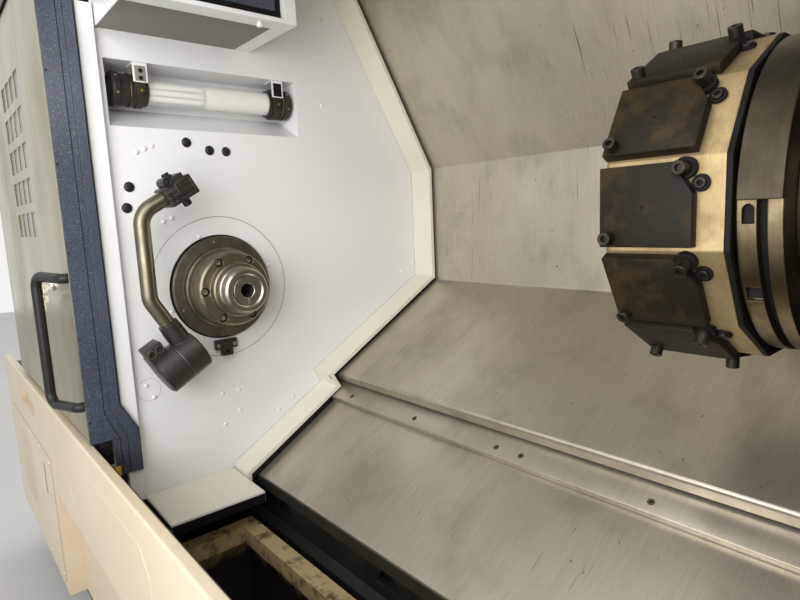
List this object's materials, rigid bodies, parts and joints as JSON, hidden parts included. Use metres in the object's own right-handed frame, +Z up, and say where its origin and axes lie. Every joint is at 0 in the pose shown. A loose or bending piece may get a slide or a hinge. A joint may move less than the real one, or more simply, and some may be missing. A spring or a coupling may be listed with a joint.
{
  "type": "cnc turning lathe",
  "caption": "Slant-bed turning lathe with sliding door, collet chuck, swing-down tool setter, turret on a cross slide and stainless bed covers inside a white enclosure",
  "frame": {"origin": "on the floor, under the middle of the machine's bounding box", "axes": "+X to the right seen from the operator's side and along the spindle axis, +Y to the back, +Z up"},
  "size_m": [3.06, 1.5519, 1.82],
  "materials": {
    "white_paint": "smooth satin white paint",
    "cream_paint": "satin cream paint",
    "beige_paint": "satin beige paint",
    "blue_grey_paint": "fine orange-peel blue-grey paint",
    "champagne_metal": "glossy champagne-coloured sheet",
    "brushed_stainless": "brushed stainless sheet with worn streaks",
    "ground_steel": "turned and ground bare steel",
    "dark_steel": "dark turned steel",
    "painted_casting": "dark olive-brown painted casting",
    "yellow_paint": "worn yellow paint",
    "black_plastic": "matte black",
    "clear_glass": "clear",
    "lamp_white": "milky white",
    "nickel_plate": "nickel plated",
    "red_plastic": "red",
    "green_plastic": "green"
  },
  "bodies": {
    "machine": {"bed_casting": "painted_casting", "linear_rail_front": "ground_steel", "linear_rail_rear": "ground_steel", "headstock_casting": "painted_casting", "headstock_wall": "white_paint", "spindle_cover_ring": "white_paint", "wall_rim": "cream_paint", "work_light_glass": "clear_glass", "work_light_left_cap": "black_plastic", "work_light_right_cap": "black_plastic", "work_light_lamp": "lamp_white", "work_light_left_bracket": "white_paint", "work_light_right_bracket": "white_paint", "coolant_nozzle_block": "black_plastic", "setter_base": "black_plastic", "lower_cover": "brushed_stainless", "guide_strip": "brushed_stainless", "right_wall": "white_paint", "chip_trough": "yellow_paint", "strainer_plate": "brushed_stainless", "front_cover": "beige_paint", "front_hatch": "beige_paint", "left_front_panel": "white_paint", "left_side_cover": "white_paint", "right_front_panel": "white_paint", "right_side_cover": "white_paint", "rear_cover": "white_paint", "roof": "white_paint", "roof_box": "white_paint", "roof_box_panel": "blue_grey_paint", "door_top_rail": "dark_steel", "door_bottom_rail": "dark_steel", "electrical_cabinet": "beige_paint", "operator_panel": "beige_paint", "panel_screen": "black_plastic"},
    "door": {"door_frame": "blue_grey_paint", "door_skin": "champagne_metal", "door_window": "clear_glass", "door_handle": "black_plastic"},
    "lock_key": {"lock_key": "nickel_plate"},
    "rear_leaf": {"rear_leaf": "blue_grey_paint"},
    "spindle": {"spindle_shaft": "ground_steel", "spindle_disc": "dark_steel", "chuck_body": "ground_steel", "nose_cap": "ground_steel"},
    "collet": {"collet": "ground_steel"},
    "carriage": {"saddle": "painted_casting", "saddle_covers": "brushed_stainless"},
    "cross_slide": {"cross_slide": "painted_casting", "turret_housing": "ground_steel"},
    "turret": {"turret_disc": "ground_steel"},
    "setter_arm": {"setter_rotor": "black_plastic", "setter_tube": "ground_steel", "setter_head": "black_plastic"},
    "cabinet_door": {"cabinet_door": "beige_paint"},
    "e_stop_button": {"e_stop_button": "red_plastic"},
    "start_button": {"start_button": "green_plastic"},
    "feed_knob": {"feed_knob": "black_plastic"},
    "handwheel": {"handwheel": "black_plastic"}
  },
  "joints": [
    {"name": "door_slide", "type": "slide", "parent": "machine", "child": "door", "axis": [1, 0, 0], "range_m": [0, 1.19]},
    {"name": "rear_leaf_slide", "type": "slide", "parent": "machine", "child": "rear_leaf", "axis": [1, 0, 0], "range_m": [0, 0.595]},
    {"name": "lock_turn", "type": "hinge", "parent": "door", "child": "lock_key", "pos_m": [-0.528, -0.72845, 0.986], "axis": [0, 1, 0], "range_deg": [0, 90]},
    {"name": "spindle_spin", "type": "hinge", "parent": "machine", "child": "spindle", "pos_m": [-0.38, -0.43645, 0.96], "axis": [1, 0, 0], "continuous": true},
    {"name": "collet_draw", "type": "slide", "parent": "spindle", "child": "collet", "axis": [1, 0, 0], "range_m": [-0.003, 0]},
    {"name": "carriage_slide", "type": "slide", "parent": "machine", "child": "carriage", "axis": [1, 0, 0], "range_m": [-0.5, 0.02]},
    {"name": "cross_slide_feed", "type": "slide", "parent": "carriage", "child": "cross_slide", "axis": [0, 0.866, 0.5], "range_m": [-0.11, 0.13]},
    {"name": "turret_index", "type": "hinge", "parent": "cross_slide", "child": "turret", "pos_m": [0.481, -0.20955, 1.091], "axis": [1, 0, 0], "continuous": true},
    {"name": "setter_swing", "type": "hinge", "parent": "machine", "child": "setter_arm", "pos_m": [-0.302, -0.41395, 0.92103], "axis": [0, 0.866, 0.5], "range_deg": [0, 90]},
    {"name": "cabinet_door_swing", "type": "hinge", "parent": "machine", "child": "cabinet_door", "pos_m": [-0.8, 0.76355, 0.96], "axis": [0, 0, 1], "range_deg": [0, 110]},
    {"name": "e_stop_press", "type": "slide", "parent": "machine", "child": "e_stop_button", "axis": [0, 1, 0], "range_m": [0, 0.006]},
    {"name": "start_press", "type": "slide", "parent": "machine", "child": "start_button", "axis": [0, 1, 0], "range_m": [0, 0.003], "stiffness_N_per_m": 600, "springref_m": -0.002},
    {"name": "feed_knob_turn", "type": "hinge", "parent": "machine", "child": "feed_knob", "pos_m": [1.31, -0.75445, 1.06], "axis": [0, 1, 0], "range_deg": [-150, 150]},
    {"name": "handwheel_turn", "type": "hinge", "parent": "machine", "child": "handwheel", "pos_m": [1.345, -0.75445, 0.95], "axis": [0, 1, 0], "continuous": true}
  ],
  "couplings": [
    {"joint": "rear_leaf_slide", "follows": "door_slide", "ratio": 0.5}
  ]
}
